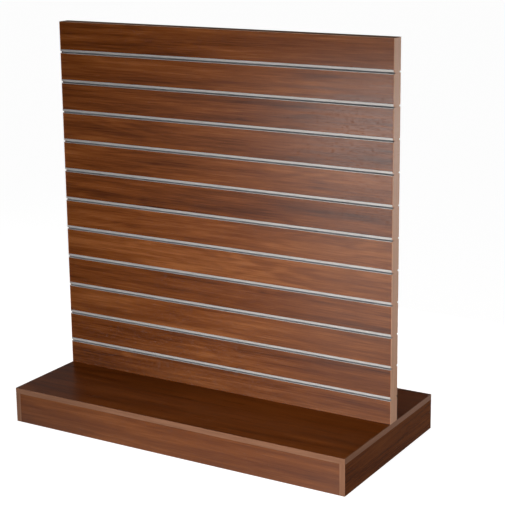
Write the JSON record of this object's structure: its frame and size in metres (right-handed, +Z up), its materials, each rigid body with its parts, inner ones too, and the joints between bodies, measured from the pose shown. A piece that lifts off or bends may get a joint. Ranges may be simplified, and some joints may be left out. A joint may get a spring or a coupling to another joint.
{
  "type": "slatwall display unit",
  "caption": "Free-standing slatwall display: a walnut panel with horizontal aluminium T-slots on both faces, standing on a shallow plinth with an overlaid deck and hidden levelling feet.",
  "frame": {"origin": "middle of the footprint, on the floor", "axes": "+X along the panel, to the right seen from the front; +Y from the front to the rear; +Z up"},
  "size_m": [1.22, 0.61, 1.296],
  "materials": {
    "slat_laminate": "walnut melamine, satin, fine grain along the panel",
    "deck_laminate": "dark walnut melamine, semi-gloss, grain along the panel",
    "plinth_laminate": "walnut melamine, satin, grain along each board",
    "panel_banding": "pale walnut banding, satin, grain along its length",
    "plinth_banding": "walnut banding, lighter than the boards, satin, grain along its length",
    "insert_aluminium": "satin anodised, drawn lines along the length",
    "core_fibreboard": "raw fibreboard",
    "plain_board": "plain particle board",
    "beech": "raw beech",
    "zinc_steel": "zinc plated",
    "black_plastic": "fine moulded texture"
  },
  "bodies": {
    "display_unit": {"front_slat_board": "slat_laminate", "rear_slat_board": "slat_laminate", "core_board": "core_fibreboard", "left_end_lipping": "panel_banding", "right_end_lipping": "panel_banding", "top_lipping": "panel_banding", "front_insert_01": "insert_aluminium", "front_insert_02": "insert_aluminium", "front_insert_03": "insert_aluminium", "front_insert_04": "insert_aluminium", "front_insert_05": "insert_aluminium", "front_insert_06": "insert_aluminium", "front_insert_07": "insert_aluminium", "front_insert_08": "insert_aluminium", "front_insert_09": "insert_aluminium", "front_insert_10": "insert_aluminium", "front_insert_11": "insert_aluminium", "rear_insert_01": "insert_aluminium", "rear_insert_02": "insert_aluminium", "rear_insert_03": "insert_aluminium", "rear_insert_04": "insert_aluminium", "rear_insert_05": "insert_aluminium", "rear_insert_06": "insert_aluminium", "rear_insert_07": "insert_aluminium", "rear_insert_08": "insert_aluminium", "rear_insert_09": "insert_aluminium", "rear_insert_10": "insert_aluminium", "rear_insert_11": "insert_aluminium", "deck_board": "deck_laminate", "deck_front_edge": "plinth_banding", "deck_rear_edge": "plinth_banding", "deck_left_edge": "plinth_banding", "deck_right_edge": "plinth_banding", "plinth_front_board": "plinth_laminate", "plinth_rear_board": "plinth_laminate", "plinth_left_end": "plinth_laminate", "plinth_right_end": "plinth_laminate", "end_board_edges": "plinth_banding", "front_spine_rail": "plain_board", "rear_spine_rail": "plain_board", "front_bearers": "plain_board", "rear_bearers": "plain_board", "corner_blocks": "plain_board", "foot_sleeves": "zinc_steel", "dowels": "beech", "cam_discs": "zinc_steel", "cam_bolts": "zinc_steel", "deck_screws": "zinc_steel", "clamp_bolts": "zinc_steel", "clamp_nuts": "zinc_steel"},
    "foot_pad_front_left": {"foot_pad_front_left": "black_plastic"},
    "foot_stem_front_left": {"foot_stem_front_left": "zinc_steel"},
    "foot_pad_front_right": {"foot_pad_front_right": "black_plastic"},
    "foot_stem_front_right": {"foot_stem_front_right": "zinc_steel"},
    "foot_pad_rear_left": {"foot_pad_rear_left": "black_plastic"},
    "foot_stem_rear_left": {"foot_stem_rear_left": "zinc_steel"},
    "foot_pad_rear_right": {"foot_pad_rear_right": "black_plastic"},
    "foot_stem_rear_right": {"foot_stem_rear_right": "zinc_steel"}
  },
  "joints": [
    {"name": "foot_travel_front_left", "type": "slide", "parent": "display_unit", "child": "foot_pad_front_left", "axis": [0, 0, -1], "range_m": [0, 0.015]},
    {"name": "foot_turn_front_left", "type": "hinge", "parent": "foot_pad_front_left", "child": "foot_stem_front_left", "pos_m": [-0.552, -0.247, 0.0065], "axis": [0, 0, -1], "range_deg": [0, 4320]},
    {"name": "foot_travel_front_right", "type": "slide", "parent": "display_unit", "child": "foot_pad_front_right", "axis": [0, 0, -1], "range_m": [0, 0.015]},
    {"name": "foot_turn_front_right", "type": "hinge", "parent": "foot_pad_front_right", "child": "foot_stem_front_right", "pos_m": [0.552, -0.247, 0.0065], "axis": [0, 0, -1], "range_deg": [0, 4320]},
    {"name": "foot_travel_rear_left", "type": "slide", "parent": "display_unit", "child": "foot_pad_rear_left", "axis": [0, 0, -1], "range_m": [0, 0.015]},
    {"name": "foot_turn_rear_left", "type": "hinge", "parent": "foot_pad_rear_left", "child": "foot_stem_rear_left", "pos_m": [-0.552, 0.247, 0.0065], "axis": [0, 0, -1], "range_deg": [0, 4320]},
    {"name": "foot_travel_rear_right", "type": "slide", "parent": "display_unit", "child": "foot_pad_rear_right", "axis": [0, 0, -1], "range_m": [0, 0.015]},
    {"name": "foot_turn_rear_right", "type": "hinge", "parent": "foot_pad_rear_right", "child": "foot_stem_rear_right", "pos_m": [0.552, 0.247, 0.0065], "axis": [0, 0, -1], "range_deg": [0, 4320]}
  ],
  "couplings": [
    {"joint": "foot_travel_front_left", "follows": "foot_turn_front_left", "m_per_rad": 0.00019894},
    {"joint": "foot_travel_front_right", "follows": "foot_turn_front_right", "m_per_rad": 0.00019894},
    {"joint": "foot_travel_rear_left", "follows": "foot_turn_rear_left", "m_per_rad": 0.00019894},
    {"joint": "foot_travel_rear_right", "follows": "foot_turn_rear_right", "m_per_rad": 0.00019894}
  ]
}
